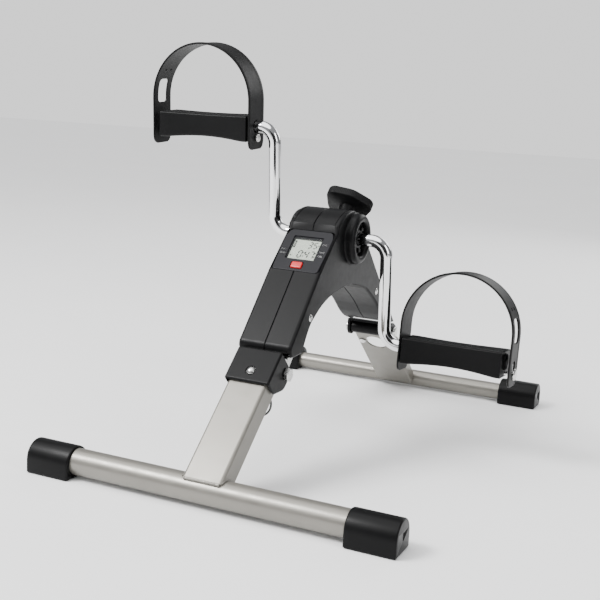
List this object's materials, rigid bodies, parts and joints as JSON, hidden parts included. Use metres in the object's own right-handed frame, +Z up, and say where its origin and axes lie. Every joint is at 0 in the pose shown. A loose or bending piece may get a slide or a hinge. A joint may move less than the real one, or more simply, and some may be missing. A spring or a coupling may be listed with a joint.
{
  "type": "pedal exerciser",
  "caption": "Folding tabletop or floor pedal exerciser with strapped pedals on a chrome crank, resistance knob, small display and two folding T legs.",
  "frame": {"origin": "on the floor, midway between the two feet and between the two sides (bottom centre of the bounding box)", "axes": "+X to the user's right, -Y towards the user (front foot and display), +Y to the rear foot, +Z up"},
  "size_m": [0.4152, 0.5376, 0.414],
  "materials": {
    "black_plastic": "satin moulded black",
    "black_paint": "satin black paint",
    "console_plastic": "satin dark grey",
    "soft_black": "matt, slightly soft",
    "silver_paint": "warm silver-grey paint",
    "chrome": "polished",
    "zinc": "bright zinc plate",
    "spring_steel": "plain steel",
    "bronze": "plain bearing bronze",
    "red_button": "satin red",
    "lcd_face": "reflective display",
    "clear_window": "clear",
    "green_board": "circuit board"
  },
  "bodies": {
    "frame": {"housing_left": "black_plastic", "housing_right": "black_plastic", "frame_spine": "spring_steel", "front_hinge_bracket": "zinc", "front_hinge_cover": "black_plastic", "front_pivot_bolt": "zinc", "front_pivot_nut": "zinc", "rear_hinge_bracket": "black_paint", "rear_pivot_bolt": "zinc", "friction_band": "spring_steel", "band_anchor_pin": "spring_steel", "boss_cover_right": "black_plastic", "boss_cover_left": "black_plastic", "crank_bush_right": "bronze", "crank_bush_left": "bronze", "bearing_bracket_right": "spring_steel", "bearing_bracket_left": "spring_steel", "housing_screw_right_front": "zinc", "housing_screw_right_rear": "zinc", "housing_screw_left_front": "zinc", "housing_screw_left_rear": "zinc", "console_bezel": "console_plastic", "lcd_window": "clear_window", "lcd_panel": "lcd_face", "circuit_board": "green_board", "battery": "spring_steel", "reed_sensor": "green_board"},
    "crank": {"crank_arm_right": "chrome", "crank_arm_left": "chrome", "friction_drum": "spring_steel", "sensor_magnet": "spring_steel"},
    "right_pedal": {"pedal_body_right": "soft_black", "strap_right": "soft_black", "strap_stud_outer_right": "zinc", "strap_stud_inner_right": "zinc", "pedal_retainer_right": "soft_black"},
    "left_pedal": {"pedal_body_left": "soft_black", "strap_left": "soft_black", "strap_stud_outer_left": "zinc", "strap_stud_inner_left": "zinc", "pedal_retainer_left": "soft_black"},
    "tension_knob": {"tension_knob": "black_plastic", "tension_screw": "zinc"},
    "tension_nut": {"tension_nut": "zinc"},
    "mode_button": {"mode_button": "red_button"},
    "front_leg": {"front_leg_tube": "silver_paint", "front_foot_tube": "silver_paint", "front_foot_cap_right": "black_plastic", "front_foot_cap_left": "black_plastic", "lock_pin_spring": "spring_steel"},
    "lock_pin": {"lock_pin": "zinc"},
    "pull_ring": {"pull_ring": "zinc"},
    "rear_leg": {"rear_leg_channel": "silver_paint", "rear_pivot_barrel": "black_plastic", "rear_leg_screw": "zinc", "rear_foot_tube": "silver_paint", "rear_foot_cap_right": "black_plastic", "rear_foot_cap_left": "black_plastic"}
  },
  "joints": [
    {"name": "crank_spin", "type": "hinge", "parent": "frame", "child": "crank", "pos_m": [0, -0.0063, 0.2186], "axis": [1, 0, 0], "continuous": true},
    {"name": "right_pedal_spin", "type": "hinge", "parent": "crank", "child": "right_pedal", "pos_m": [0.0645, 0.00575, 0.10946], "axis": [1, 0, 0], "continuous": true},
    {"name": "left_pedal_spin", "type": "hinge", "parent": "crank", "child": "left_pedal", "pos_m": [-0.0645, -0.01835, 0.32774], "axis": [1, 0, 0], "continuous": true},
    {"name": "tension_knob_turn", "type": "hinge", "parent": "frame", "child": "tension_knob", "pos_m": [0, 0.03754, 0.24547], "axis": [0, 0.7071, 0.7071], "range_deg": [0, 1080]},
    {"name": "tension_nut_slide", "type": "slide", "parent": "frame", "child": "tension_nut", "axis": [0, 0.7071, 0.7071], "range_m": [0, 0.003]},
    {"name": "mode_button_press", "type": "slide", "parent": "frame", "child": "mode_button", "axis": [0, 0.6704, -0.742], "range_m": [0, 0.0008], "stiffness_N_per_m": 1200},
    {"name": "front_leg_fold", "type": "hinge", "parent": "frame", "child": "front_leg", "pos_m": [0, -0.14811, 0.10195], "axis": [1, 0, 0], "range_deg": [0, 108]},
    {"name": "front_lock_pin_pull", "type": "slide", "parent": "front_leg", "child": "lock_pin", "axis": [0, 0.6691, -0.7431], "range_m": [0, 0.007], "stiffness_N_per_m": 900},
    {"name": "front_pull_ring_swing", "type": "hinge", "parent": "lock_pin", "child": "pull_ring", "pos_m": [0, -0.15542, 0.08541], "axis": [1, 0, 0], "range_deg": [-40, 40]},
    {"name": "rear_leg_fold", "type": "hinge", "parent": "frame", "child": "rear_leg", "pos_m": [0, 0.141, 0.093], "axis": [-1, 0, 0], "range_deg": [0, 110]}
  ],
  "couplings": [
    {"joint": "tension_knob_turn", "follows": "tension_nut_slide", "rad_per_m": 6283.2}
  ]
}
